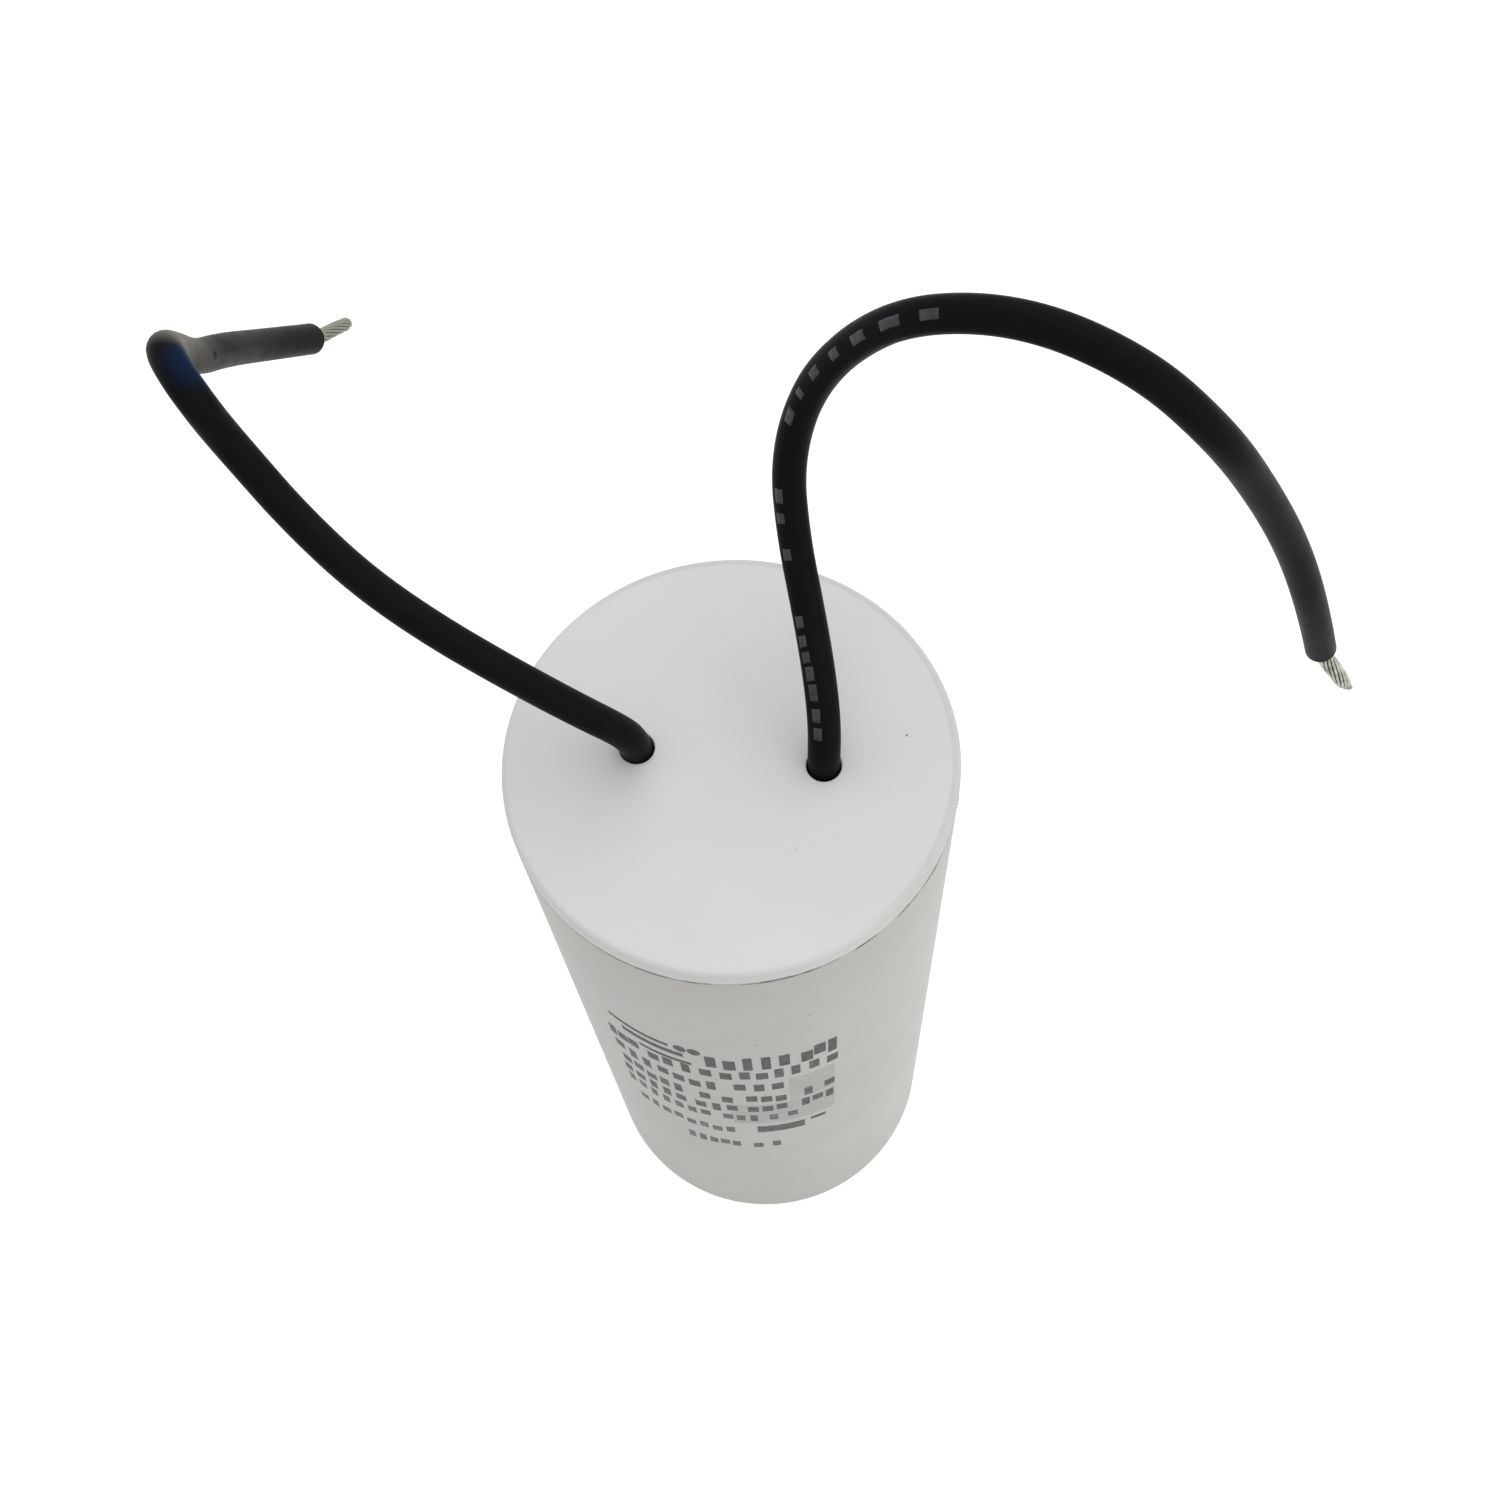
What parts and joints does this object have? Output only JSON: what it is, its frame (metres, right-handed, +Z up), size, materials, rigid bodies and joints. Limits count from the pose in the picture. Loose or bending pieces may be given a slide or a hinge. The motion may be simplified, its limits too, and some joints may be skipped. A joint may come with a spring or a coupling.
{
  "type": "motor run capacitor",
  "caption": "Cylindrical motor run capacitor in a moulded plastic can, with stranded leads out of its welded lid.",
  "frame": {"origin": "centre of the can's flat underside", "axes": "+Z up the can's axis towards the lid, lead holes in line with X, the right lead on +X"},
  "size_m": [0.1154, 0.0684, 0.1586],
  "materials": {
    "can_plastic": "matte moulded plastic, warm light grey",
    "lid_plastic": "matte moulded plastic, off-white",
    "lead_insulation": "soft black insulation with a satin gloss",
    "tinned_wire": "tinned copper, silver grey",
    "solder": "bright solder",
    "sprayed_zinc": "rough sprayed zinc, light grey",
    "metallised_film": "metallised film edge, silvery",
    "plain_film": "clear film, slightly cloudy",
    "core_plastic": "moulded plastic tube, grey",
    "resin": "cast resin, dull amber"
  },
  "bodies": {
    "root": {"case": "can_plastic", "lid": "lid_plastic", "core_tube": "core_plastic", "film_roll": "metallised_film", "outer_wrap": "plain_film", "top_end_spray": "sprayed_zinc", "bottom_end_spray": "sprayed_zinc", "left_lead_inner": "lead_insulation", "left_tail": "tinned_wire", "right_lead_inner": "lead_insulation", "right_tail": "tinned_wire", "top_solder": "solder", "bottom_solder": "solder", "potting": "resin", "right_lead": "lead_insulation", "left_lead": "lead_insulation", "right_strands": "tinned_wire", "left_strands": "tinned_wire"}
  },
  "joints": []
}
